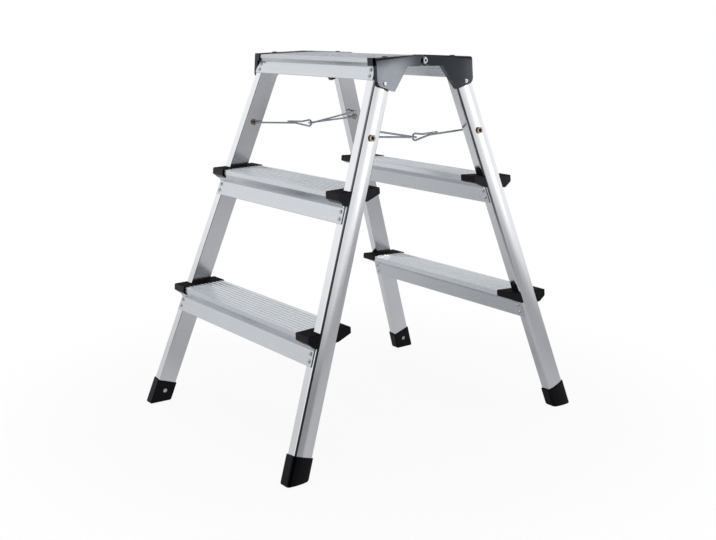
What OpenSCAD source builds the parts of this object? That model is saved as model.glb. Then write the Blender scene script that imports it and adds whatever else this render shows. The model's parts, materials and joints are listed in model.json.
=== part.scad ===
// Trestle ladder: two splayed leg frames with treads on both sides, hinged under a two-part platform.
// Millimetres, z up. The origin is on the floor under the hinge line, x runs along the treads,
// the front frame stands at minus y and the right end is at plus x.

/* [Leg frame] */
// height of the platform at the ridge
platform_height = 690; // [640:1:760]
// half width over the stile corners at the floor
base_half_width = 256.8; // [240:0.1:290]
// half depth over the stile faces at the floor
base_half_depth = 335.6; // [320:0.1:360]
// half width over the stile corners at the platform
top_half_width = 186.35; // [178:0.05:194]
// half depth over the stile faces at the platform
top_half_depth = 97.5; // [94:0.1:104]
// slope of the treads and platform halves as the ladder stands
tread_slope = 2.15; // [0:0.05:3]

/* [Stiles] */
// depth of the stile section
stile_depth = 37.7; // [34:0.1:42]
// width of the stile section without its crown
stile_width = 20.8; // [18:0.1:24]
// wall of the stile section
stile_wall = 1.8; // [1.4:0.1:2.5]
// height of the crown on the outer web
stile_crown = 1.4; // [0.8:0.1:4]
// radius of the outer corners
outer_round = 5; // [2:0.1:6]
// radius of the inner corners
inner_round = 1.2; // [0.6:0.1:2]
// gap between the top of the stile and the platform sheet
stile_top_gap = 0.4; // [0.2:0.1:1]

/* [Treads] */
// height of the lower tread at the stile
lower_tread_height = 238.6; // [220:0.1:260]
// height of the upper tread at the stile
upper_tread_height = 466.4; // [450:0.1:490]
// depth of the tread over its nosings
tread_depth = 84; // [78:0.5:92]
// thickness of the tread and platform sheet
sheet = 2; // [1.5:0.1:2.6]
// height of the tread nosings
nosing_height = 9; // [6:0.5:12]
// where the outer flange of a tread starts below its top
outer_flange_start = 27; // [22:0.5:32]
// where the outer flange of a tread ends below its top
outer_flange_end = 52; // [46:0.5:60]
// where the inner flange of a tread starts below its top
inner_flange_start = 21; // [18:0.5:26]
// where the inner flange of a tread ends below its top
inner_flange_end = 49; // [44:0.5:58]
// distance of the flange ends from the stile corner
flange_margin = 6; // [5.2:0.1:8]
// distance from rib to rib
rib_pitch = 8.2; // [6:0.1:10]
// width of a rib
rib_width = 3.4; // [2:0.1:5]
// height of a rib
rib_height = 0.8; // [0.4:0.1:1.2]

/* [Platform] */
// depth of one platform half from the ridge to its nosing
platform_depth = 111.5; // [104:0.1:118]
// height of the platform nosing
platform_nosing = 7; // [5:0.5:10]
// where the outer platform flange starts below the ridge
platform_flange_start = 18; // [16:0.5:22]
// where the platform flanges end below the ridge
platform_flange_end = 39; // [34:0.5:44]
// gap between the platform halves at the ridge
ridge_gap = 1.6; // [1:0.1:4]

/* [Tread caps] */
// reach of a cap in front of the stile
cap_front = 25.8; // [23:0.1:30]
// reach of a cap behind the stile
cap_rear = 24.2; // [22:0.1:28]
// width of a cap along the tread
cap_width = 37.3; // [32:0.1:44]
// thickness of a cap above the ribs
cap_skin = 0.8; // [0.6:0.1:2]
// height of the cap nose
cap_nose = 12; // [9:0.1:15]
// how far the cap reaches down the stile
cap_drop = 20.8; // [18:0.1:26]
// radius of the cap edges
cap_round = 3; // [1:0.1:4]
// how far the cap stands back from the stile's outer corners
cap_set_back = 0.4; // [0.2:0.1:1]

/* [Hinge brackets] */
// depth of the hinge axis below the ridge
hinge_drop = 8; // [7:0.1:10]
// thickness of the bracket outside the crown
bracket_wall = 5.6; // [3:0.1:7]
// thickness of the bracket lips round the platform
bracket_lip = 2; // [1.2:0.1:3]
// width of the bracket lips along the platform
lip_width = 14; // [10:0.5:18]
// width of the blocks that carry the hinge knuckles
arm_width = 22; // [20:0.5:28]
// how far the bracket plate stands back from the platform nosing
plate_set_back = 1.5; // [0:0.1:4]
// length of the nub on top of a bracket
nub_length = 8; // [5:0.5:12]
// height of the nub on top of a bracket
nub_height = 1.2; // [0.6:0.1:2]
// distance of the nub from the ridge, bracket with the inner knuckle
inner_nub = 85; // [60:1:95]
// distance of the nub from the ridge, bracket with the outer knuckle
outer_nub = 70; // [50:1:90]
// how far the bracket reaches down the stile
bracket_drop = 60; // [55:0.5:70]
// radius of the lower outer corner of the bracket
bracket_round = 12; // [8:0.5:16]
// height of that corner's centre above the lower edge
bracket_toe = 20.4; // [16:0.1:26]
// distance of the arch under the hinge from the ridge
arch_start = 12; // [11:0.5:16]
// where the arch turns down towards the stile
arch_turn = 40; // [30:0.5:50]
// radius of the hinge knuckles
knuckle_radius = 10; // [9:0.1:11]
// width of the inner knuckle
knuckle_width = 10; // [8:0.1:12]
// gap between moving plastic faces
knuckle_gap = 0.4; // [0.3:0.05:0.6]
// diameter of the hinge pin
pin_diameter = 8; // [6:0.1:9]
// running clearance round the pin
pin_clearance = 0.06; // [0.02:0.01:0.1]
// diameter of the pin head
pin_head_diameter = 12; // [10:0.1:14]
// height of the pin head
pin_head = 3; // [2:0.1:4]

/* [Feet] */
// wall of the foot round the stile
foot_wall = 2.4; // [1.6:0.1:4]
// length of the foot up the front of the stile
foot_length = 52; // [44:0.5:64]
// thickness of the sole under the stile
sole = 6; // [4:0.5:10]

/* [Stays] */
// height of the stay pivots
stay_height = 553.5; // [545:0.5:565]
// diameter of the stay wire
wire = 3.5; // [3:0.1:4]
// running clearance of the wire in its rivet
wire_clearance = 0.06; // [0.02:0.01:0.1]
// clearance of the loop round the bail
loop_clearance = 0.6; // [0.4:0.1:1]
// how far the middle of the stay hangs below its pivots
stay_sag = 7.5; // [5:0.1:10]
// where the bail ends before the middle
bail_offset = 4; // [0:0.5:8]
// width inside the loop
loop_bore = 8.6; // [6:0.1:10]
// length of the loop from its middle to where it closes
loop_length = 34; // [24:0.5:44]
// length of the wire end that lies along the rod beyond the loop
loop_tail = 18; // [10:0.5:24]
// height of the free bail end above its pivot
bail_rise = 12; // [9:0.1:16]
// gap between the open wire end and the stay rivet
open_gap = 0.5; // [0.4:0.1:1]

/* [Rivets] */
// share of a flange above its upper rivet
rivet_high = 0.24; // [0.22:0.01:0.3]
// share of a flange above its lower rivet
rivet_low = 0.72; // [0.65:0.01:0.8]
// distance of the tread and platform rivets from the stile corner
rivet_inset = 13.5; // [11:0.1:15]
// height of the bracket rivet above the lower edge of the bracket
bracket_rivet_rise = 14; // [11:0.5:20]
// height of the foot rivet
foot_rivet_height = 23.4; // [18:0.1:30]
// diameter of a rivet head
rivet_head = 8; // [6.5:0.1:9]
// height of a rivet head
rivet_height = 1.7; // [1:0.1:2.2]
// diameter of a rivet shank
rivet_shank = 4.8; // [4:0.1:5.2]
// diameter of the hole in a rivet head
rivet_hole = 2.6; // [2:0.1:3]
// diameter of a stay rivet head
stay_head = 12.5; // [11:0.1:14]
// diameter of a stay rivet tube
stay_tube = 7; // [6:0.1:8]
// height of the outer head of a stay rivet
stay_head_height = 3; // [2:0.1:4]
// height of the inner flange of a stay rivet
stay_flange = 1.2; // [0.8:0.1:2]

/* [Hidden] */
$fn = 64;
corner_flats = 4;
toe_flats = 10;
eps = 0.01;
far = 1000;
lean_tan = (base_half_depth - top_half_depth) / platform_height;
stile_lean = atan(lean_tan);
splay = atan((base_half_width - top_half_width) / platform_height * cos(stile_lean));
cut_depth = stile_depth / cos(stile_lean);
skin = sheet / cos(stile_lean);
hinge_height = platform_height - hinge_drop;
crown_chord = stile_depth - 2 * outer_round;
crown_radius = (crown_chord * crown_chord / 4 + stile_crown * stile_crown) / (2 * stile_crown);
crown_blend = outer_round / 8;

// outward distance of the stile face and of the stile middle at a height
function face_y(z) = base_half_depth - z * lean_tan;
function mid_y(z) = face_y(z) - cut_depth / 2;
// length up the stile of a point with stile offsets x and y at a height
function up_stile(x, y, z) =
    ((z + y * sin(stile_lean)) / cos(stile_lean) - x * sin(splay)) / cos(splay);
// x of a plane parallel to the right outer web, at a depth and height
function web_x(offset, y, z) = base_half_width
    + (offset - sin(splay) * (sin(stile_lean) * (base_half_depth - y) + cos(stile_lean) * z)) / cos(splay);

stay_y = mid_y(stay_height);
stay_inner = web_x(-stile_width, stay_y, stay_height);
stay_outer = web_x(stile_crown, stay_y, stay_height);
head_sink = stay_head * stay_head / 8 / crown_radius + stile_wall / 8;
flange_lean = tan(splay) * stay_head / 2;
main_x = stay_inner - stay_flange - flange_lean - loop_clearance - wire / 2;
strand_gap = wire + 1.5 * loop_clearance;
rod_x = main_x - strand_gap;
return_x = rod_x - strand_gap;
elbow_y = -bail_offset;
elbow_z = stay_height - stay_sag;
rod_angle = atan2(stay_sag, stay_y + bail_offset);
rod_length = (stay_y + bail_offset) / cos(rod_angle);
main_angle = atan2(stay_sag, stay_y - bail_offset);
main_length = (stay_y - bail_offset) / cos(main_angle);
tail_reach = stay_y - bail_offset - 2 * wire;
return_angle = atan2(bail_rise + stay_sag, tail_reach);
return_length = tail_reach / cos(return_angle);
open_end = stay_inner - stay_flange - flange_lean - open_gap;
loop_radius = (loop_bore + wire) / 2;
loop_taper = asin(loop_radius / loop_length);
loop_shift = (loop_bore - wire) / 2 - loop_clearance;
tail_rise = 0.85 * wire;
bend_ball = 1.02 * wire;

bracket_face = stile_crown + bracket_wall;
hinge_face = web_x(bracket_face, 0, hinge_height);
lip_inner = web_x(-arm_width, 0, hinge_height);
knuckle_split = lip_inner + knuckle_width + bracket_lip;
outer_knuckle_end = hinge_face - knuckle_gap * 2;

// drops of the rivets on a flange
function rivet_drops(start, end) = [for (share = [rivet_high, rivet_low]) start + share * (end - start)];
tread_rivets = rivet_drops(outer_flange_start, outer_flange_end);
tread_inner_rivets = rivet_drops(inner_flange_start, inner_flange_end);
platform_rivets = rivet_drops(platform_flange_start, platform_flange_end);
bracket_rivet_height = platform_height - bracket_drop + bracket_rivet_rise;

// Places
module on_left() { mirror([1, 0, 0]) children(); }
module on_back() { mirror([0, 1, 0]) children(); }
module both_ends() { children(); on_left() children(); }
module turned() { rotate([0, 0, 180]) children(); }

// origin on the front right stile's outer front corner, z up the stile, x out of the web
module on_stile() {
    translate([base_half_width, -base_half_depth, 0])
        rotate([-stile_lean, 0, 0]) rotate([0, -splay, 0]) children();
}

// the space between two planes parallel to the right outer web
module web_slab(from, to) {
    on_stile() translate([from, -far / 2, -far / 2]) cube([to - from, far, 2 * far]);
}

// a profile in y and z drawn out along x
module along_x(from, to) {
    translate([from, 0, 0]) rotate([90, 0, 90]) linear_extrude(to - from) children();
}

module x_cylinder(from, to, diameter) {
    translate([from, 0, 0]) rotate([0, 90, 0]) cylinder(d = diameter, h = to - from);
}

// Sections
module strip(a, b, thickness) {
    length = norm(b - a);
    across = [a[1] - b[1], b[0] - a[0]] / length * thickness / 2;
    polygon([a + across, a - across, b - across, b + across]);
}

module sheet_section(points) {
    for (i = [0 : len(points) - 2]) strip(points[i], points[i + 1], sheet);
    for (point = points) translate(point) circle(d = sheet);
}

// a convex outline given clockwise, each corner eased in a few flats
module eased(points, radius) {
    last = len(points) - 1;
    ways = [for (i = [0 : last]) let (step = points[i == last ? 0 : i + 1] - points[i]) step / norm(step)];
    comes = [for (i = [0 : last]) ways[i == 0 ? last : i - 1]];
    halves = [for (i = [0 : last]) acos(-ways[i] * comes[i]) / 2];
    inwards = [for (i = [0 : last]) (ways[i] - comes[i]) / norm(ways[i] - comes[i])];
    polygon([for (i = [0 : last]) for (k = [0 : corner_flats])
        let (angle = atan2(comes[i][0], -comes[i][1]) - k / corner_flats * (180 - 2 * halves[i]))
        points[i] + radius * (inwards[i] / sin(halves[i]) + [cos(angle), sin(angle)])]);
}

module stile_section(grow) {
    wide = stile_width + grow;
    inner = inner_round + grow;
    outer = outer_round + grow;
    low = -grow;
    high = stile_depth + grow;
    translate([-wide + inner, low]) square([wide + grow - inner - outer, high - low]);
    translate([-wide, low + inner]) square([inner + eps, high - low - 2 * inner]);
    translate([grow - outer - eps, low + outer]) square([outer - stile_wall / 2, high - low - 2 * outer]);
    for (y = [low + inner, high - inner]) translate([-wide + inner, y]) circle(r = inner);
    for (y = [low + outer, high - outer]) translate([grow - outer, y]) circle(r = outer);
    intersection() {
        translate([stile_crown - crown_radius, stile_depth / 2]) circle(r = crown_radius + grow, $fn = 256);
        translate([-stile_wall, low + outer - crown_blend])
            square([far, high - low - 2 * (outer - crown_blend)]);
    }
}

module stile_hollow() {
    translate([stile_wall - stile_width, stile_wall])
        square([stile_width - 2 * stile_wall, stile_depth - 2 * stile_wall]);
    intersection() {
        translate([stile_crown - crown_radius, stile_depth / 2])
            circle(r = crown_radius - stile_wall, $fn = 256);
        translate([-2 * stile_wall, outer_round]) square([far, crown_chord]);
    }
}

module stile_solid(grow = 0) {
    on_stile() translate([0, 0, -far / 10]) linear_extrude(far) stile_section(grow);
}

// the stile as it ends under the platform
module stile_blank() {
    difference() {
        stile_solid();
        translate([0, 0, platform_height - sheet - stile_top_gap]) rotate([tread_slope, 0, 0])
            translate([-far / 2, -far / 2, 0]) cube(far);
    }
}

// tread section with its origin on the stile middle at the tread top, outside at minus y
function tread_line() = [
    [cut_depth / 2 + skin / 2 - inner_flange_end * lean_tan, -inner_flange_end],
    [cut_depth / 2 + skin / 2 - inner_flange_start * lean_tan, -inner_flange_start],
    [(tread_depth - sheet) / 2, -nosing_height + sheet / 2],
    [(tread_depth - sheet) / 2, tread_depth / 2 * tan(tread_slope) - sheet / 2],
    [(sheet - tread_depth) / 2, -tread_depth / 2 * tan(tread_slope) - sheet / 2],
    [(sheet - tread_depth) / 2, -nosing_height - sheet / 2],
    [-cut_depth / 2 - skin / 2 - outer_flange_start * lean_tan, -outer_flange_start],
    [-cut_depth / 2 - skin / 2 - outer_flange_end * lean_tan, -outer_flange_end]];

module ribs(from, to, top) {
    count = floor((to - from) / rib_pitch);
    start = (from + to - count * rib_pitch) / 2;
    for (i = [0 : count]) {
        y = start + i * rib_pitch;
        translate([y - rib_width / 2, top + y * tan(tread_slope) - sheet / 2])
            square([rib_width, sheet / 2 + rib_height]);
    }
}

module tread_section() {
    sheet_section(tread_line());
    ribs(rib_pitch - tread_depth / 2, tread_depth / 2 - rib_pitch, 0);
}

module tread_fill() {
    polygon(tread_line());
    tread_section();
}

// platform section for the front half, y from the ridge outwards at minus y
function roof(y) = platform_height + y * tan(tread_slope);
function platform_line() = [
    [-(ridge_gap + sheet) / 2, roof(0) - hinge_drop + sheet],
    [-(ridge_gap + sheet) / 2, roof(0) - sheet / 2],
    [sheet / 2 - platform_depth, roof(-platform_depth) - sheet / 2],
    [sheet / 2 - platform_depth, roof(-platform_depth) - platform_nosing + sheet / 2],
    [-face_y(platform_height - platform_flange_start) - skin / 2, platform_height - platform_flange_start],
    [-face_y(platform_height - platform_flange_end) - skin / 2, platform_height - platform_flange_end]];
function platform_web() = [
    [cut_depth - face_y(platform_height - 2 * sheet) + skin / 2, platform_height - 2 * sheet],
    [cut_depth - face_y(platform_height - platform_flange_end) + skin / 2,
     platform_height - platform_flange_end]];

module platform_section() {
    sheet_section(platform_line());
    sheet_section(platform_web());
    ribs(rib_pitch - platform_depth, -rib_pitch, platform_height);
}

module platform_fill() {
    polygon(concat(platform_line(), [platform_web()[1], platform_web()[0]]));
    platform_section();
}

// Rivets: z out of the sheet, the head resting at zero
module rivet(grip) {
    shoulder = (rivet_head + rivet_hole) / 4;
    rotate_extrude() polygon([[0, -grip], [rivet_shank / 2, -grip], [rivet_shank / 2, 0],
        [rivet_head / 2, 0], [rivet_head / 2, rivet_height / 3], [shoulder, rivet_height],
        [rivet_hole / 2, rivet_height], [rivet_hole / 2, -rivet_height], [0, -rivet_height]]);
}

module rivet_bore() { translate([0, 0, -stile_width / 3]) cylinder(d = rivet_shank, h = stile_width); }

// places on the front right stile
module outer_face_at(z) {
    on_stile() translate([-rivet_inset, -sheet, up_stile(-rivet_inset, -sheet, z)])
        rotate([90, 0, 0]) children();
}
module inner_face_at(z) {
    face = stile_depth + sheet;
    on_stile() translate([-rivet_inset, face, up_stile(-rivet_inset, face, z)])
        rotate([-90, 0, 0]) children();
}
module tread_rivet_places(height) {
    for (drop = tread_rivets) outer_face_at(height - drop) children();
    for (drop = tread_inner_rivets) inner_face_at(height - drop) children();
}
module platform_rivet_places() {
    for (drop = platform_rivets) {
        outer_face_at(platform_height - drop) children();
        inner_face_at(platform_height - drop) children();
    }
}
// on the stile middle, x stile offset and the height, z out of the web
module web_at(x, z) {
    on_stile() translate([x, stile_depth / 2, up_stile(x, stile_depth / 2, z)]) rotate([0, 90, 0]) children();
}
module bracket_rivet_place() { web_at(bracket_face, bracket_rivet_height) children(); }
module foot_rivet_place() {
    web_at(-stile_width - foot_wall, foot_rivet_height) mirror([0, 0, 1]) children();
}
module stay_place() { translate([0, -stay_y, stay_height]) children(); }

// Stile, front right
module stile() {
    color("silver") difference() {
        stile_blank();
        on_stile() translate([0, 0, -far / 8]) linear_extrude(2 * far) stile_hollow();
        translate([-far / 2, -far / 2, sole - far]) cube(far);
        for (height = [lower_tread_height, upper_tread_height]) tread_rivet_places(height) rivet_bore();
        platform_rivet_places() rivet_bore();
        bracket_rivet_place() translate([0, 0, -stile_width / 3]) rivet_bore();
        foot_rivet_place() rivet_bore();
        stay_place() x_cylinder(0, far / 2, stay_tube);
        web_at(stile_crown - head_sink, stay_height) cylinder(d = stay_head, h = stile_width);
    }
}

// Tread, front
module tread(height) {
    color("lightgray") difference() {
        translate([0, -mid_y(height), height])
            along_x(-base_half_width, base_half_width) tread_section();
        both_ends() {
            stile_solid();
            web_slab(-flange_margin, far);
            tread_rivet_places(height) rivet_bore();
        }
    }
}

// Platform half, front
module platform() {
    color("lightgray") difference() {
        along_x(-base_half_width, base_half_width) platform_section();
        both_ends() {
            stile_blank();
            web_slab(-flange_margin / 2, far);
            platform_rivet_places() rivet_bore();
            translate([0, 0, hinge_height])
                x_cylinder(lip_inner - pin_head, far, 2 * (knuckle_radius + knuckle_gap));
        }
    }
}

// Tread cap, front right
module cap_outline() {
    front = -cut_depth / 2 - cap_front;
    rear = cut_depth / 2 + cap_rear;
    rise = rib_height + cap_skin;
    front_end = -cut_depth / 2 - cap_drop * lean_tan - 2 * skin;
    rear_end = cut_depth / 2 - cap_drop * lean_tan + 2 * skin;
    eased([[front, rise + front * tan(tread_slope)], [rear, rise + rear * tan(tread_slope)],
        [rear, rise - cap_nose + sheet], [rear_end, -cap_drop + sheet], [front_end, -cap_drop - sheet],
        [front, rise - cap_nose - sheet]], cap_round);
}

module cap(height) {
    color([0.1, 0.1, 0.11]) difference() {
        intersection() {
            translate([0, -mid_y(height), height])
                along_x(0, base_half_width + stile_crown) cap_outline();
            web_slab(-cap_width, -cap_set_back);
        }
        stile_solid();
        difference() {
            translate([0, -mid_y(height), height])
                along_x(-base_half_width, base_half_width) tread_fill();
            web_slab(-flange_margin, far);
        }
    }
}

// Foot, front right
module foot() {
    color([0.1, 0.1, 0.11]) difference() {
        on_stile() translate([0, 0, -far / 10])
            linear_extrude(far / 10 + foot_length) stile_section(foot_wall);
        translate([-far / 2, -far / 2, -far]) cube(far);
        difference() {
            stile_solid();
            translate([-far / 2, -far / 2, sole - far]) cube(far);
        }
        foot_rivet_place() rivet_bore();
    }
}

// Hinge bracket, front right
module bracket_outline() {
    top = platform_height + bracket_lip;
    low = platform_height - bracket_drop;
    front = platform_depth - plate_set_back;
    turn = front - bracket_round;
    heel = mid_y(low) - cut_depth / 2 - 3 * bracket_lip;
    corner = low + bracket_toe;
    tilt = atan2(corner - bracket_round - low, turn - heel);
    arch = hinge_height - knuckle_radius;
    toe = [for (k = [0 : toe_flats]) let (angle = k / toe_flats * (90 - tilt))
        [-turn - bracket_round * cos(angle), corner - bracket_round * sin(angle)]];
    polygon(concat([[-ridge_gap / 2, top], [-front, top - front * tan(tread_slope)]], toe,
        [[-heel, low], [-arch_turn, arch], [-arch_start, arch], [-ridge_gap / 2, hinge_height]]));
}

module lip_outline() {
    top = platform_height + bracket_lip;
    front = platform_depth + bracket_lip;
    low = platform_height - platform_flange_start + bracket_lip;
    polygon([[-ridge_gap / 2, top], [-front, top - front * tan(tread_slope)], [-front, low],
        [-ridge_gap / 2, low]]);
}

// block under the platform that carries the knuckle
module arm_outline() {
    end = cut_depth - face_y(platform_height) + 4 * skin;
    arch = hinge_height - knuckle_radius;
    polygon([[-ridge_gap / 2, hinge_height], [-ridge_gap / 2, roof(-ridge_gap / 2) - sheet],
        [end, roof(end) - sheet], [end, arch], [-arch_start, arch]]);
}

module nub(distance) {
    translate([0, -distance, roof(-distance) + bracket_lip])
        along_x(0, base_half_width) square([nub_length, 2 * nub_height], center = true);
}

module knuckle_space(from, to) {
    translate([0, 0, hinge_height]) x_cylinder(from, to, 2 * (knuckle_radius + knuckle_gap));
}

module bracket_body(nub_distance) {
    difference() {
        union() {
            intersection() {
                nub(nub_distance);
                web_slab(-flange_margin / 2, stile_crown);
            }
            intersection() {
                along_x(0, base_half_width) bracket_outline();
                web_slab(-flange_margin / 2, bracket_face);
            }
            difference() {
                intersection() {
                    along_x(0, base_half_width) lip_outline();
                    web_slab(-lip_width, stile_crown / 2);
                }
                along_x(-base_half_width, base_half_width) platform_fill();
            }
            intersection() {
                along_x(0, base_half_width) arm_outline();
                web_slab(-arm_width, stile_crown / 2);
            }
        }
        stile_blank();
        difference() {
            along_x(-base_half_width, base_half_width) platform_section();
            web_slab(-flange_margin / 2, far);
        }
        bracket_rivet_place() rivet_bore();
    }
}

// bracket that holds the pin, its knuckle on the inside
module inner_bracket() {
    color([0.09, 0.09, 0.1]) difference() {
        union() {
            difference() {
                bracket_body(inner_nub);
                knuckle_space(knuckle_split, far);
            }
            translate([0, 0, hinge_height])
                x_cylinder(lip_inner + knuckle_gap, knuckle_split, 2 * knuckle_radius);
        }
        translate([0, 0, hinge_height]) {
            x_cylinder(0, far, pin_diameter);
            x_cylinder(0, lip_inner + knuckle_gap, 2 * knuckle_radius);
        }
    }
}

// bracket that turns on the pin, its knuckle on the outside
module outer_bracket() {
    color([0.09, 0.09, 0.1]) difference() {
        union() {
            difference() {
                bracket_body(outer_nub);
                knuckle_space(0, knuckle_split + knuckle_gap);
                translate([0, 0, hinge_height]) x_cylinder(outer_knuckle_end, far, 2 * pin_diameter);
            }
            translate([0, 0, hinge_height])
                x_cylinder(knuckle_split + knuckle_gap, outer_knuckle_end, 2 * knuckle_radius);
        }
        translate([0, 0, hinge_height]) x_cylinder(0, far, pin_diameter + 2 * pin_clearance);
    }
}

// tubular pin, its outer end rolled over a collar
module hinge_pin() {
    inner = lip_inner + knuckle_gap;
    outer = outer_knuckle_end + knuckle_gap;
    color("gray") translate([0, 0, hinge_height]) difference() {
        union() {
            x_cylinder(inner - pin_head / 2, outer + pin_head / 2, pin_diameter);
            x_cylinder(inner - pin_head / 2, inner, pin_head_diameter);
            x_cylinder(outer, outer + pin_head / 2, pin_head_diameter);
            x_cylinder(outer, outer + pin_head, (pin_head_diameter + pin_diameter) / 2);
        }
        x_cylinder(outer - pin_head, far, pin_diameter / 2);
    }
}

// Stays
// a ball at a square bend, its poles away from both wires
module bend(turn) { rotate([0, 90, turn]) sphere(d = bend_ball); }

module y_wire(x, from, to) {
    translate([x, from, 0]) rotate([-90, 0, 0]) cylinder(d = wire, h = to - from);
}

// hairpin: a pin in the stay rivet, the main strand, a cross bar for the loop and a free return strand
module bail() {
    color("gray") {
        stay_place() {
            x_cylinder(main_x, stay_outer - stay_flange, wire);
            rotate([-main_angle, 0, 0]) {
                translate([main_x, 0, 0]) bend(45);
                y_wire(main_x, 0, main_length);
                translate([main_x, main_length, 0]) bend(45);
            }
        }
        translate([0, elbow_y, elbow_z]) {
            x_cylinder(return_x, main_x, wire);
            rotate([-return_angle, 0, 0]) {
                translate([return_x, 0, 0]) bend(-45);
                y_wire(return_x, -return_length, 0);
                translate([return_x, -return_length, 0]) bend(45);
                translate([0, -return_length, 0]) x_cylinder(return_x, open_end, wire);
            }
        }
    }
}

// tapered loop round the cross bar, the wire's end laid along the rod where the loop closes
module loop() {
    turn = loop_length - tail_rise / tan(loop_taper);
    translate([rod_x, 0, 0]) rotate([90, 0, 90]) rotate([0, 0, 90 - loop_taper])
        rotate_extrude(angle = 180 + 2 * loop_taper) translate([loop_radius, 0]) circle(d = wire);
    for (side = [-1, 1]) {
        translate([0, loop_length, 0]) rotate([-side * loop_taper, 0, 0])
            y_wire(rod_x, -loop_length * cos(loop_taper), side > 0 ? -tail_rise / sin(loop_taper) : 0);
        translate([rod_x, loop_radius * sin(loop_taper), side * loop_radius * cos(loop_taper)]) bend(0);
    }
    translate([rod_x, loop_length, 0]) bend(0);
    translate([rod_x, turn, tail_rise]) bend(0);
    translate([0, 0, tail_rise]) y_wire(rod_x, turn, loop_length + loop_tail);
}

// single wire with the loop at one end, its other end open beside the opposite stay rivet
module rod() {
    color("gray") translate([0, elbow_y, elbow_z]) rotate([rod_angle, 0, 0]) {
        translate([0, loop_shift, 0]) loop();
        y_wire(rod_x, loop_shift + loop_length, rod_length);
        translate([rod_x, rod_length, 0]) bend(-45);
        translate([0, rod_length, 0]) x_cylinder(rod_x, open_end, wire);
    }
}

module stay_rivet() {
    bore = wire + 2 * wire_clearance;
    color("gainsboro") difference() {
        union() {
            stay_place() x_cylinder(stay_inner - stay_flange / 2, stay_outer, stay_tube);
            web_at(stile_crown - head_sink, stay_height)
                cylinder(d = stay_head, h = head_sink + stay_head_height);
            web_at(-stile_width - stay_flange, stay_height) cylinder(d = stay_head, h = stay_flange);
        }
        stay_place() {
            x_cylinder(0, far, bore);
            x_cylinder(stay_outer, far, 2 * wire);
        }
    }
}

// Rivet sets, front
module tread_rivet_set() {
    color("gainsboro") both_ends()
        for (height = [lower_tread_height, upper_tread_height])
            tread_rivet_places(height) rivet(sheet + 2 * stile_wall);
}
module platform_rivet_set() {
    color("gainsboro") both_ends() platform_rivet_places() rivet(sheet + 2 * stile_wall);
}
module bracket_rivet_set() {
    color("gainsboro") both_ends() bracket_rivet_place() rivet(bracket_wall + 2 * stile_wall);
}
module foot_rivet_set() {
    color("gainsboro") both_ends() foot_rivet_place() rivet(foot_wall + 2 * stile_wall);
}

stile();  // front_right_stile
on_left() stile();  // front_left_stile
on_back() stile();  // back_right_stile
turned() stile();  // back_left_stile
tread(upper_tread_height);  // front_upper_tread
tread(lower_tread_height);  // front_lower_tread
on_back() tread(upper_tread_height);  // back_upper_tread
on_back() tread(lower_tread_height);  // back_lower_tread
platform();  // front_platform
on_back() platform();  // back_platform
cap(upper_tread_height);  // front_upper_right_cap
on_left() cap(upper_tread_height);  // front_upper_left_cap
cap(lower_tread_height);  // front_lower_right_cap
on_left() cap(lower_tread_height);  // front_lower_left_cap
on_back() cap(upper_tread_height);  // back_upper_right_cap
turned() cap(upper_tread_height);  // back_upper_left_cap
on_back() cap(lower_tread_height);  // back_lower_right_cap
turned() cap(lower_tread_height);  // back_lower_left_cap
foot();  // front_right_foot
on_left() foot();  // front_left_foot
on_back() foot();  // back_right_foot
turned() foot();  // back_left_foot
inner_bracket();  // front_right_bracket
on_left() outer_bracket();  // front_left_bracket
on_back() outer_bracket();  // back_right_bracket
turned() inner_bracket();  // back_left_bracket
hinge_pin();  // right_hinge_pin
turned() hinge_pin();  // left_hinge_pin
bail();  // right_bail
rod();  // right_rod
turned() bail();  // left_bail
turned() rod();  // left_rod
stay_rivet();  // front_right_stay_rivet
on_left() stay_rivet();  // front_left_stay_rivet
on_back() stay_rivet();  // back_right_stay_rivet
turned() stay_rivet();  // back_left_stay_rivet
tread_rivet_set();  // front_tread_rivets
on_back() tread_rivet_set();  // back_tread_rivets
platform_rivet_set();  // front_platform_rivets
on_back() platform_rivet_set();  // back_platform_rivets
bracket_rivet_set();  // front_bracket_rivets
on_back() bracket_rivet_set();  // back_bracket_rivets
foot_rivet_set();  // front_foot_rivets
on_back() foot_rivet_set();  // back_foot_rivets
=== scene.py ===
# Trestle ladder: the finishes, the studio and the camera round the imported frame.
import json
import math

import bmesh
import bpy
from mathutils import Matrix, Vector

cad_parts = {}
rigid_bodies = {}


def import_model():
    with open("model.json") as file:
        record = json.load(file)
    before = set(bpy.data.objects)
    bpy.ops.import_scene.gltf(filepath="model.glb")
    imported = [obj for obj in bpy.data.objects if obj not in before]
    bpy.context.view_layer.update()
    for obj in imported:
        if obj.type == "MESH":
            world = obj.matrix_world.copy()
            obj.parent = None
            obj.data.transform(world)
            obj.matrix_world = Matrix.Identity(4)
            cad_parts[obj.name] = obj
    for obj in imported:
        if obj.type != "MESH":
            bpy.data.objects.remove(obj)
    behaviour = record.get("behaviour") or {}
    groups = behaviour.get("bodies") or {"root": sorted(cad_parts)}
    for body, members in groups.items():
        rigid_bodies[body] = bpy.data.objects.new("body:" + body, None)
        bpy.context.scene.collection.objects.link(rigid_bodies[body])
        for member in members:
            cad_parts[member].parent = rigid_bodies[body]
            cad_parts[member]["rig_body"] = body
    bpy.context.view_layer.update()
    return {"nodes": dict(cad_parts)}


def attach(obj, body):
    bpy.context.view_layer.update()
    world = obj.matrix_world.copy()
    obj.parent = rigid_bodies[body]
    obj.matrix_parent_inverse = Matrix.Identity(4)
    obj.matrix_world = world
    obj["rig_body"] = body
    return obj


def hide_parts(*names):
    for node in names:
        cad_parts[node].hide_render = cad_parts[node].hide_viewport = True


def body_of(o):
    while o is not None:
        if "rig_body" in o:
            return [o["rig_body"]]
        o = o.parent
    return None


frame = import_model()
nodes = frame["nodes"]
scene = bpy.context.scene
MM = 0.001
UP = Vector((0, 0, 1))
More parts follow.
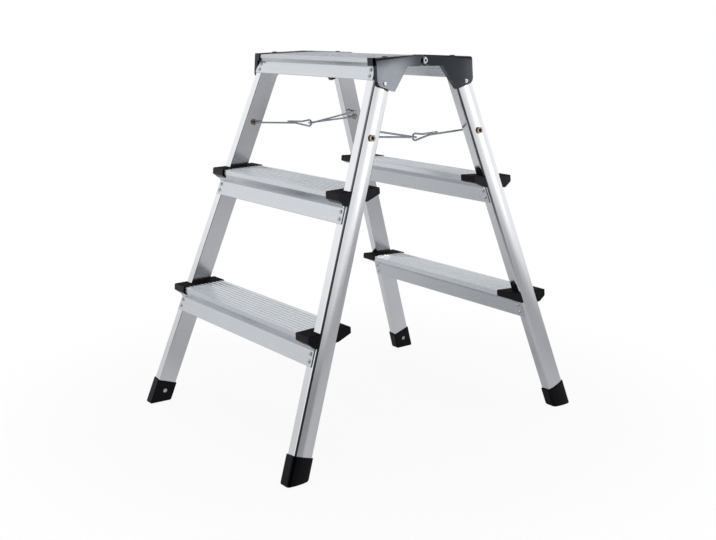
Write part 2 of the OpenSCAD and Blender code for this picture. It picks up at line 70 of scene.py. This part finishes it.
WHITE = (1, 1, 1, 1)

# The camera that was fitted to the photograph
PHOTO_WIDE, PHOTO_HIGH = 716, 540
# the focal length in pixels, and the row of pixels that the lens points at
FOCAL_LENGTH, AXIS_ROW = 1065.4, 214.5
EYE = Vector((1622.2, -1229.0, 738.3)) * MM
YAW, PITCH, ROLL = (math.radians(turn) for turn in (52.87, -9.96, 0.19))
SENSOR_WIDTH = 36


# Colours and nodes
def linear(code):
    """An sRGB hex value as linear red, green, blue and alpha."""
    parts = [int(code[i : i + 2], 16) / 255 for i in (1, 3, 5)]
    return tuple(c / 12.92 if c <= 0.04045 else ((c + 0.055) / 1.055) ** 2.4 for c in parts) + (1.0,)


def add(tree, kind, values=None, links=None, **settings):
    """A new node with its settings, its fixed inputs, and its inputs linked to a socket or a node."""
    node = tree.nodes.new(kind)
    for name, value in settings.items():
        setattr(node, name, value)
    for name, value in (values or {}).items():
        node.inputs[name].default_value = value
    for name, source in (links or {}).items():
        if isinstance(source, bpy.types.Node):
            source = next(socket for socket in source.outputs if socket.enabled)
        tree.links.new(source, node.inputs[name])
    return node


def material(name):
    """An empty node material and its tree."""
    made = bpy.data.materials.new(name)
    made.use_nodes = True
    made.node_tree.nodes.clear()
    return made, made.node_tree


# The inputs of a Mix node that take its two plain values, or its two colours
FIRST_VALUE, SECOND_VALUE, FIRST_COLOUR, SECOND_COLOUR = 2, 3, 6, 7
# a noise texture seldom leaves this range
NOISE_RANGE = {"From Min": 0.3, "From Max": 0.7}

# Extruded aluminium, satin anodised: fine die lines run the length of the section and stretch
# the reflections, and the film is a little cloudy
DIE_LINE_LENGTH, DIE_LINE_DEPTH = 400 * MM, 0.01 * MM
# real die lines are 0.1 mm wide, and these are drawn wider so that they show
DIE_LINE_WIDTH = 1.8 * MM
# the lines add this to the roughness at most
DIE_LINE_ROUGHNESS = 0.07
FILM_CLOUD = 70 * MM


def extruded_aluminium(name, light, dark, smooth, metallic, way, mirrored):
    made, tree = material(name)
    place = add(tree, "ShaderNodeTexCoord").outputs["Object"]
    if mirrored:
        place = add(tree, "ShaderNodeVectorMath", links={0: place}, operation="ABSOLUTE")
    upright = way.rotation_difference(UP).to_euler()
    lengthwise = add(tree, "ShaderNodeMapping", {"Rotation": upright}, {"Vector": place})
    across, along = 1 / DIE_LINE_WIDTH, 1 / DIE_LINE_LENGTH
    drawn = add(tree, "ShaderNodeVectorMath", {1: (across, across, along)}, {0: lengthwise},
                operation="MULTIPLY")
    lines = add(tree, "ShaderNodeTexNoise", {"Scale": 1, "Detail": 2}, {"Vector": drawn})
    clouds = add(tree, "ShaderNodeTexNoise", {"Scale": 1 / FILM_CLOUD, "Detail": 3}, {"Vector": place})
    tint = add(tree, "ShaderNodeMix", {FIRST_COLOUR: linear(light), SECOND_COLOUR: linear(dark)},
               {"Factor": clouds}, data_type="RGBA")
    rough = add(tree, "ShaderNodeMapRange",
                {**NOISE_RANGE, "To Min": smooth, "To Max": smooth + DIE_LINE_ROUGHNESS}, {"Value": lines})
    bump = add(tree, "ShaderNodeBump", {"Strength": 0.2, "Distance": DIE_LINE_DEPTH}, {"Height": lines})
    shader = add(tree, "ShaderNodeBsdfPrincipled", {"Metallic": metallic},
                 {"Base Color": tint, "Roughness": rough, "Normal": bump})
    add(tree, "ShaderNodeOutputMaterial", links={"Surface": shader})
    return made


# Moulded plastic: polished sides with a faint haze, tops grained in the tool so that they stay dull,
# and a fine pitting all over, drawn coarser than real pits so that it shows
HAZE_PATCH = 25 * MM
# the share of the roughness that the haze adds or takes away
HAZE_SPREAD = 0.1
# a face is a top where its normal points up by this much
TOP_RANGE = {"From Min": 0.8, "From Max": 0.95}


def moulded_plastic(name, colour, grain, depth, roughness, top_roughness, shine, tint):
    made, tree = material(name)
    coordinates = add(tree, "ShaderNodeTexCoord").outputs
    place = coordinates["Object"]
    pits = add(tree, "ShaderNodeTexNoise", {"Scale": 1 / grain, "Detail": 2}, {"Vector": place})
    haze = add(tree, "ShaderNodeTexNoise", {"Scale": 1 / HAZE_PATCH, "Detail": 3}, {"Vector": place})
    clearest, haziest = roughness * (1 - HAZE_SPREAD), roughness * (1 + HAZE_SPREAD)
    polish = add(tree, "ShaderNodeMapRange", {**NOISE_RANGE, "To Min": clearest, "To Max": haziest},
                 {"Value": haze})
    upward = add(tree, "ShaderNodeSeparateXYZ", links={0: coordinates["Normal"]}).outputs["Z"]
    top = add(tree, "ShaderNodeMapRange", TOP_RANGE, {"Value": upward})
    rough = add(tree, "ShaderNodeMix", {SECOND_VALUE: top_roughness}, {"Factor": top, FIRST_VALUE: polish})
    bump = add(tree, "ShaderNodeBump", {"Strength": 0.3, "Distance": depth}, {"Height": pits})
    shader = add(tree, "ShaderNodeBsdfPrincipled",
                 {"Base Color": linear(colour), "IOR": 1.5, "Specular IOR Level": shine,
                  "Specular Tint": linear(tint)},
                 {"Roughness": rough, "Normal": bump})
    add(tree, "ShaderNodeOutputMaterial", links={"Surface": shader})
    return made


# Small metal pieces: a plated or turned surface with faint patches, a little rougher or smoother
PATCH_SPREAD = 0.06


def small_metal(name, light, dark, patch, roughness, metallic):
    made, tree = material(name)
    place = add(tree, "ShaderNodeTexCoord").outputs["Object"]
    spots = add(tree, "ShaderNodeTexNoise", {"Scale": 1 / patch, "Detail": 3}, {"Vector": place})
    tint = add(tree, "ShaderNodeMix", {FIRST_COLOUR: linear(light), SECOND_COLOUR: linear(dark)},
               {"Factor": spots}, data_type="RGBA")
    rough = add(tree, "ShaderNodeMapRange",
                {**NOISE_RANGE, "To Min": roughness - PATCH_SPREAD, "To Max": roughness + PATCH_SPREAD},
                {"Value": spots})
    shader = add(tree, "ShaderNodeBsdfPrincipled", {"Metallic": metallic},
                 {"Base Color": tint, "Roughness": rough})
    add(tree, "ShaderNodeOutputMaterial", links={"Surface": shader})
    return made


# The finishes, with the way that each section runs. The stiles share one, because their pattern has
# both ends and both frames folded onto one
STILE_WAY = Vector((-0.0961, -0.3247, 0.9409))
TREAD_WAY = Vector((1, 0, 0))
finishes = {
    # bright and smooth, so that the stiles carry long clear bands of light and dark
    "stile": extruded_aluminium("anodised_aluminium_stile", "#ecedf0", "#e4e6ea", smooth=0.14,
                                metallic=1.0, way=STILE_WAY, mirrored=True),
    # greyer and more matt, so that the treads look even
    "tread": extruded_aluminium("anodised_aluminium_tread", "#dfe3e8", "#d5dae0", smooth=0.22,
                                metallic=0.84, way=TREAD_WAY, mirrored=False),
    # deep black with a weak sheen on the sides
    "black_plastic": moulded_plastic("moulded_polypropylene", "#040306", grain=0.7 * MM, depth=0.03 * MM,
                                     roughness=0.3, top_roughness=0.85, shine=0.17, tint="#f4f2ff"),
    # glossy blue-black, so that the flat plates mirror the studio
    "bracket_plastic": moulded_plastic("glossy_moulded_nylon", "#080c14", grain=1.2 * MM, depth=0.004 * MM,
                                       roughness=0.08, top_roughness=0.3, shine=0.44, tint="#d8e3f2"),
    # cool grey and a little patchy
    "wire": small_metal("zinc_plated_wire", "#c3c9cf", "#9aa4ae", patch=6 * MM, roughness=0.3,
                        metallic=1.0),
    # plain mid grey
    "pin": small_metal("turned_steel", "#a9adb2", "#8b9097", patch=5 * MM, roughness=0.3,
                       metallic=1.0),
    # nearly white, so that the heads stand out from the black plastic
    "rivet": small_metal("white_passivated_rivet", "#f0f1f2", "#d5d8db", patch=4 * MM, roughness=0.28,
                         metallic=0.7),
    # warm brown, darker in patches
    "stay_rivet": small_metal("browned_steel_rivet", "#b9ada1", "#7d6f62", patch=3 * MM, roughness=0.35,
                              metallic=1.0),
}
finish_by_ending = {
    "stile": "stile",
    "tread": "tread",
    "platform": "tread",
    "cap": "black_plastic",
    "foot": "black_plastic",
    "bracket": "bracket_plastic",
    "bail": "wire",
    "rod": "wire",
    "pin": "pin",
    "stay_rivet": "stay_rivet",
}


def finish_of(name):
    """The finish that goes with the end of a piece's name; all other fasteners are plain rivets."""
    return next((finish for ending, finish in finish_by_ending.items() if name.endswith(ending)), "rivet")


for name, piece in nodes.items():
    piece.data.materials.clear()
    piece.data.materials.append(finishes[finish_of(name)])

# Moulded pieces, whose tools leave rounded edges

# points this close are one, and faces that turn less than this are one
WELD, FLAT_ANGLE = 0.001 * MM, math.radians(0.5)
# an edge is a corner of the moulding past the first angle, and is shaded sharp past the second
CORNER_ANGLE, SHARP_ANGLE = math.radians(30), math.radians(35)
SOLE_HEIGHT = 0.1 * MM
# a bracket's top edges are longer than the first, and further out than the second
BRACKET_TOP_LENGTH, BRACKET_TOP_OUT = 90 * MM, 180 * MM
# a cap's eased edges are longer than the first, and their faces together point no further down
CAP_EDGE_LENGTH, CAP_EDGE_DOWN = 6 * MM, -0.3


def corner_edge(edge):
    return edge.is_manifold and edge.calc_face_angle_signed() > CORNER_ANGLE


def sole_edge(edge):
    return all(corner.co.z < SOLE_HEIGHT for corner in edge.verts)


def bracket_top_edge(edge):
    far_out = all(abs(corner.co.x) > BRACKET_TOP_OUT for corner in edge.verts)
    return far_out and edge.calc_length() > BRACKET_TOP_LENGTH


def cap_edge(edge):
    """The long edges round a cap's top, and its outer corners."""
    outward = sum((face.normal for face in edge.link_faces), Vector())
    return edge.calc_length() > CAP_EDGE_LENGTH and outward.z > CAP_EDGE_DOWN


def moulding(name, slot, pick, radius, steps):
    """A copy of a moulded node, in the node's place, with the corners that pick finds eased."""
    shell = bmesh.new()
    shell.from_mesh(nodes[name].data)
    bmesh.ops.remove_doubles(shell, verts=shell.verts, dist=WELD)
    bmesh.ops.dissolve_limit(shell, angle_limit=FLAT_ANGLE, verts=shell.verts, edges=shell.edges)
    corners = [edge for edge in shell.edges if corner_edge(edge) and pick(edge)]
    bmesh.ops.bevel(shell, geom=corners, offset=radius, offset_type="OFFSET", segments=steps, profile=0.5,
                    affect="EDGES", material=-1, clamp_overlap=False)
    for face in shell.faces:
        face.smooth = True
    mesh = bpy.data.meshes.new(name + "_moulding")
    shell.to_mesh(mesh)
    shell.free()
    mesh.set_sharp_from_angle(angle=SHARP_ANGLE)
    mesh.materials.append(finishes[slot])
    piece = bpy.data.objects.new(name + "_moulding", mesh)
    scene.collection.objects.link(piece)
    even = piece.modifiers.new("even", "WEIGHTED_NORMAL")
    even.keep_sharp = True
    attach(piece, body_of(nodes[name])[0])
    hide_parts(name)


# the edges that are eased on each kind of moulding, their radius and the facets round it
eased = {
    "cap": (cap_edge, 1.5 * MM, 3),
    "foot": (sole_edge, 3.6 * MM, 5),
    "bracket": (bracket_top_edge, 5 * MM, 5),
}
for name in nodes:
    kind = name.split("_")[-1]
    if kind in eased:
        moulding(name, finish_of(name), *eased[kind])

# Studio: a pale floor, a white backdrop and a dark room behind the camera

# levels of light, where 1 is white
AMBIENT, ROOM, DUSK, CEILING = 0.42, 0.02, 0.3, 0.65
HIGH_WALL, HIGH_RIGHT_WALL, LOW_LEFT_WALL, LEFT_WALL = 0.4, 0.15, 0.55, 1.03
# level directions to the camera, to the left of the backdrop and to the right of it
TOWARDS = Vector((EYE.x, EYE.y, 0)).normalized()
LEFTWARD, RIGHTWARD = (-0.82, -0.57, 0), (0.643, 0.766, 0)


def ray_kinds(tree):
    """Where the camera looks, by itself or through glass, and where a reflection looks."""
    rays = add(tree, "ShaderNodeLightPath").outputs
    clear = add(tree, "ShaderNodeMath", links={0: rays["Is Camera Ray"], 1: rays["Is Transmission Ray"]},
                operation="MAXIMUM")
    return clear, rays["Is Glossy Ray"]


def studio():
    """A world that is all white to the camera and that reflections see as walls, a room and a ceiling."""
    world = bpy.data.worlds.new("studio")
    world.use_nodes = True
    tree = world.node_tree
    tree.nodes.clear()
    way = add(tree, "ShaderNodeTexCoord").outputs["Generated"]
    # 0 at the horizon and 1 straight up
    height = add(tree, "ShaderNodeSeparateXYZ", links={0: way}).outputs["Z"]
    facing = add(tree, "ShaderNodeVectorMath", {1: TOWARDS}, {0: way}, operation="DOT_PRODUCT")
    sides = add(tree, "ShaderNodeMapRange",
                {"From Min": 0.45, "From Max": 0.75, "To Min": 1.0, "To Max": ROOM},
                {"Value": facing}, interpolation_type="SMOOTHSTEP")
    # the light ends lower down behind the object than beside it
    rising = add(tree, "ShaderNodeMath", {1: -0.12}, {0: facing, 2: height}, operation="MULTIPLY_ADD")
    high = add(tree, "ShaderNodeMapRange",
               {"From Min": 0.35, "From Max": 0.75, "To Min": 1.0, "To Max": HIGH_WALL},
               {"Value": rising}, interpolation_type="SMOOTHSTEP")
    walls = add(tree, "ShaderNodeMath", links={0: sides, 1: high}, operation="MULTIPLY")
    # on the left the backdrop darkens towards the floor
    leftward = add(tree, "ShaderNodeVectorMath", {1: LEFTWARD}, {0: way}, operation="DOT_PRODUCT")
    left = add(tree, "ShaderNodeMapRange", {"From Min": 0.5, "From Max": 0.9}, {"Value": leftward})
    low = add(tree, "ShaderNodeMapRange",
              {"From Min": 0.0, "From Max": 0.18, "To Min": LOW_LEFT_WALL, "To Max": LEFT_WALL},
              {"Value": height})
    left_wall = add(tree, "ShaderNodeMix", {FIRST_VALUE: 1.0}, {"Factor": left, SECOND_VALUE: low})
    # on the right it is dark higher up, which draws the black top edge of the brackets
    rightward = add(tree, "ShaderNodeVectorMath", {1: RIGHTWARD}, {0: way}, operation="DOT_PRODUCT")
    right = add(tree, "ShaderNodeMapRange", {"From Min": 0.3, "From Max": 0.45}, {"Value": rightward})
    above = add(tree, "ShaderNodeMapRange",
                {"From Min": 0.16, "From Max": 0.3, "To Min": 1.0, "To Max": HIGH_RIGHT_WALL},
                {"Value": height})
    right_wall = add(tree, "ShaderNodeMix", {FIRST_VALUE: 1.0}, {"Factor": right, SECOND_VALUE: above})
    ends = add(tree, "ShaderNodeMath", links={0: left_wall, 1: right_wall}, operation="MULTIPLY")
    shaded = add(tree, "ShaderNodeMath", links={0: walls, 1: ends}, operation="MULTIPLY")
    # straight up there is a pale ceiling, and the dark room is paler higher up
    overhead = add(tree, "ShaderNodeMapRange", {"From Min": 0.8, "From Max": 0.95, "To Max": CEILING},
                   {"Value": height})
    dusk = add(tree, "ShaderNodeMapRange", {"From Min": 0.22, "From Max": 0.64, "To Max": DUSK},
               {"Value": height}, interpolation_type="SMOOTHSTEP")
    upper = add(tree, "ShaderNodeMath", links={0: overhead, 1: dusk}, operation="MAXIMUM")
    backdrop = add(tree, "ShaderNodeMath", links={0: shaded, 1: upper}, operation="MAXIMUM")
    # the camera sees white, reflections see the backdrop, and all else is lit evenly
    clear, glossy = ray_kinds(tree)
    shown = add(tree, "ShaderNodeMath", links={0: clear, 1: backdrop}, operation="MAXIMUM")
    seen = add(tree, "ShaderNodeMath", links={0: clear, 1: glossy}, operation="MAXIMUM")
    ambient = add(tree, "ShaderNodeBackground", {"Color": WHITE, "Strength": AMBIENT})
    white = add(tree, "ShaderNodeBackground", {"Color": WHITE}, {"Strength": shown})
    mixed = add(tree, "ShaderNodeMixShader", links={0: seen, 1: ambient, 2: white})
    add(tree, "ShaderNodeOutputWorld", links={"Surface": mixed})
    return world


# Floor, in metres from the object's origin
FLOOR_SIZE = 60
NEAREST_FOOT = (0.26, -0.33, 0)
# painted shade on the floor that only reflections see: they see least of the white round this point
REFLECTED_SHADE_CENTRE = (1.2, 1.1, 0)
# shares of white that the camera sees close to the object, and that reflections see far from that point
NEAR_WHITE, FAR_WHITE = 0.93, 0.97
# shares of black that reflections see past the nearest foot, and in a strip beside that
UNLIT, HALF_DARK = 0.9, 0.44


def pale_floor():
    made, tree = material("pale_floor")
    clear, glossy = ray_kinds(tree)
    matt = add(tree, "ShaderNodeBsdfDiffuse", {"Color": linear("#c9c9cc")})
    glow = add(tree, "ShaderNodeEmission", {"Color": WHITE, "Strength": 1.0})
    # the camera sees the floor nearly white with the shadow left in and all white further off,
    # and the metal sees a part of that
    place = add(tree, "ShaderNodeTexCoord").outputs["Object"]
    distance = add(tree, "ShaderNodeVectorMath", links={0: place}, operation="LENGTH")
    whiter = add(tree, "ShaderNodeMapRange",
                 {"From Min": 0.3, "From Max": 0.9, "To Min": NEAR_WHITE, "To Max": 1.0},
                 {"Value": distance}, interpolation_type="SMOOTHSTEP")
    # painted shade for reflections: the floor's white share is lowest round this point and grows further
    # off
    shade = add(tree, "ShaderNodeVectorMath", {1: REFLECTED_SHADE_CENTRE}, {0: place}, operation="DISTANCE")
    brighter = add(tree, "ShaderNodeMapRange", {"From Min": 0.6, "From Max": 5.0, "To Max": FAR_WHITE},
                   {"Value": shade})
    plain = add(tree, "ShaderNodeMath", links={0: clear, 1: whiter}, operation="MULTIPLY")
    mirrored = add(tree, "ShaderNodeMath", links={0: glossy, 1: brighter}, operation="MULTIPLY")
    share = add(tree, "ShaderNodeMath", links={0: plain, 1: mirrored}, operation="MAXIMUM")
    # the white is the backdrop showing through, so the feet that a folded frame puts lower stay in view
    through = add(tree, "ShaderNodeBsdfTransparent")
    pale = add(tree, "ShaderNodeMixShader", links={0: clear, 1: glow, 2: through})
    lit = add(tree, "ShaderNodeMixShader", links={0: share, 1: matt, 2: pale})
    # past the nearest foot, the metal sees the floor as dark as the room behind the camera
    beyond = add(tree, "ShaderNodeVectorMath", {1: NEAREST_FOOT}, {0: place}, operation="SUBTRACT")
    aside = add(tree, "ShaderNodeVectorMath", links={0: beyond}, operation="NORMALIZE")
    facing = add(tree, "ShaderNodeVectorMath", {1: TOWARDS}, {0: aside}, operation="DOT_PRODUCT")
    unlit = add(tree, "ShaderNodeMapRange", {"From Min": 0.55, "From Max": 0.85, "To Max": UNLIT},
                {"Value": facing}, interpolation_type="SMOOTHSTEP")
    # with a half-dark strip beside it, narrower further off, which draws a band along the nearest
    # stile's web
    off = add(tree, "ShaderNodeVectorMath", links={0: beyond}, operation="LENGTH")
    narrow = add(tree, "ShaderNodeMapRange", {"From Min": 1.5, "From Max": 2.3, "To Max": -0.14},
                 {"Value": off})
    nearer = add(tree, "ShaderNodeMath", links={0: facing, 1: narrow}, operation="ADD")
    strip = add(tree, "ShaderNodeMapRange", {"From Min": 0.29, "From Max": 0.38, "To Max": HALF_DARK},
                {"Value": nearer})
    both = add(tree, "ShaderNodeMath", links={0: unlit, 1: strip}, operation="MAXIMUM")
    dark = add(tree, "ShaderNodeMath", links={0: glossy, 1: both}, operation="MULTIPLY")
    black = add(tree, "ShaderNodeEmission", {"Strength": 0.0})
    mixed = add(tree, "ShaderNodeMixShader", links={0: dark, 1: lit, 2: black})
    add(tree, "ShaderNodeOutputMaterial", links={"Surface": mixed})
    return made


scene.world = studio()
bpy.ops.mesh.primitive_plane_add(size=FLOOR_SIZE, location=(0, 0, 0))
floor = bpy.context.object
floor.name = "floor"
floor.data.materials.append(pale_floor())


# Lamps, in metres
def soft_box(name, centre, aim, width, height, watts, colour):
    lamp = bpy.data.lights.new(name, "AREA")
    lamp.color = linear(colour)[:3]
    lamp.shape = "RECTANGLE"
    lamp.size = width
    lamp.size_y = height
    lamp.energy = watts
    holder = bpy.data.objects.new(name, lamp)
    scene.collection.objects.link(holder)
    holder.location = centre
    holder.rotation_euler = (Vector(aim) - Vector(centre)).to_track_quat("-Z", "Y").to_euler()
    return holder


# a strip far off on the right, which the near end's faces mirror
soft_box("far_strip", centre=(6.04, 5.293, 1.03), aim=(0.2, 0, 0.68), width=0.36, height=1.1, watts=15,
         colour="#fffaf8")
# the top soft box gives the shadow, and the metal sees the ceiling in its place
top_soft_box = soft_box("top_soft_box", centre=(0, 0, 2.6), aim=(0, 0, 0), width=2.2, height=2.2, watts=30,
                        colour="#ffffff")
top_soft_box.visible_glossy = False

# Camera at the photograph's angle
lens = bpy.data.cameras.new("camera")
lens.sensor_width = SENSOR_WIDTH
lens.lens = FOCAL_LENGTH / PHOTO_WIDE * SENSOR_WIDTH
lens.shift_y = (AXIS_ROW - PHOTO_HIGH / 2) / PHOTO_WIDE
camera = bpy.data.objects.new("camera", lens)
scene.collection.objects.link(camera)
camera.matrix_world = (Matrix.Translation(EYE) @ Matrix.Rotation(YAW, 4, "Z")
                       @ Matrix.Rotation(math.pi / 2 + PITCH, 4, "X") @ Matrix.Rotation(ROLL, 4, "Z"))
scene.camera = camera
scene.view_settings.view_transform = "Standard"
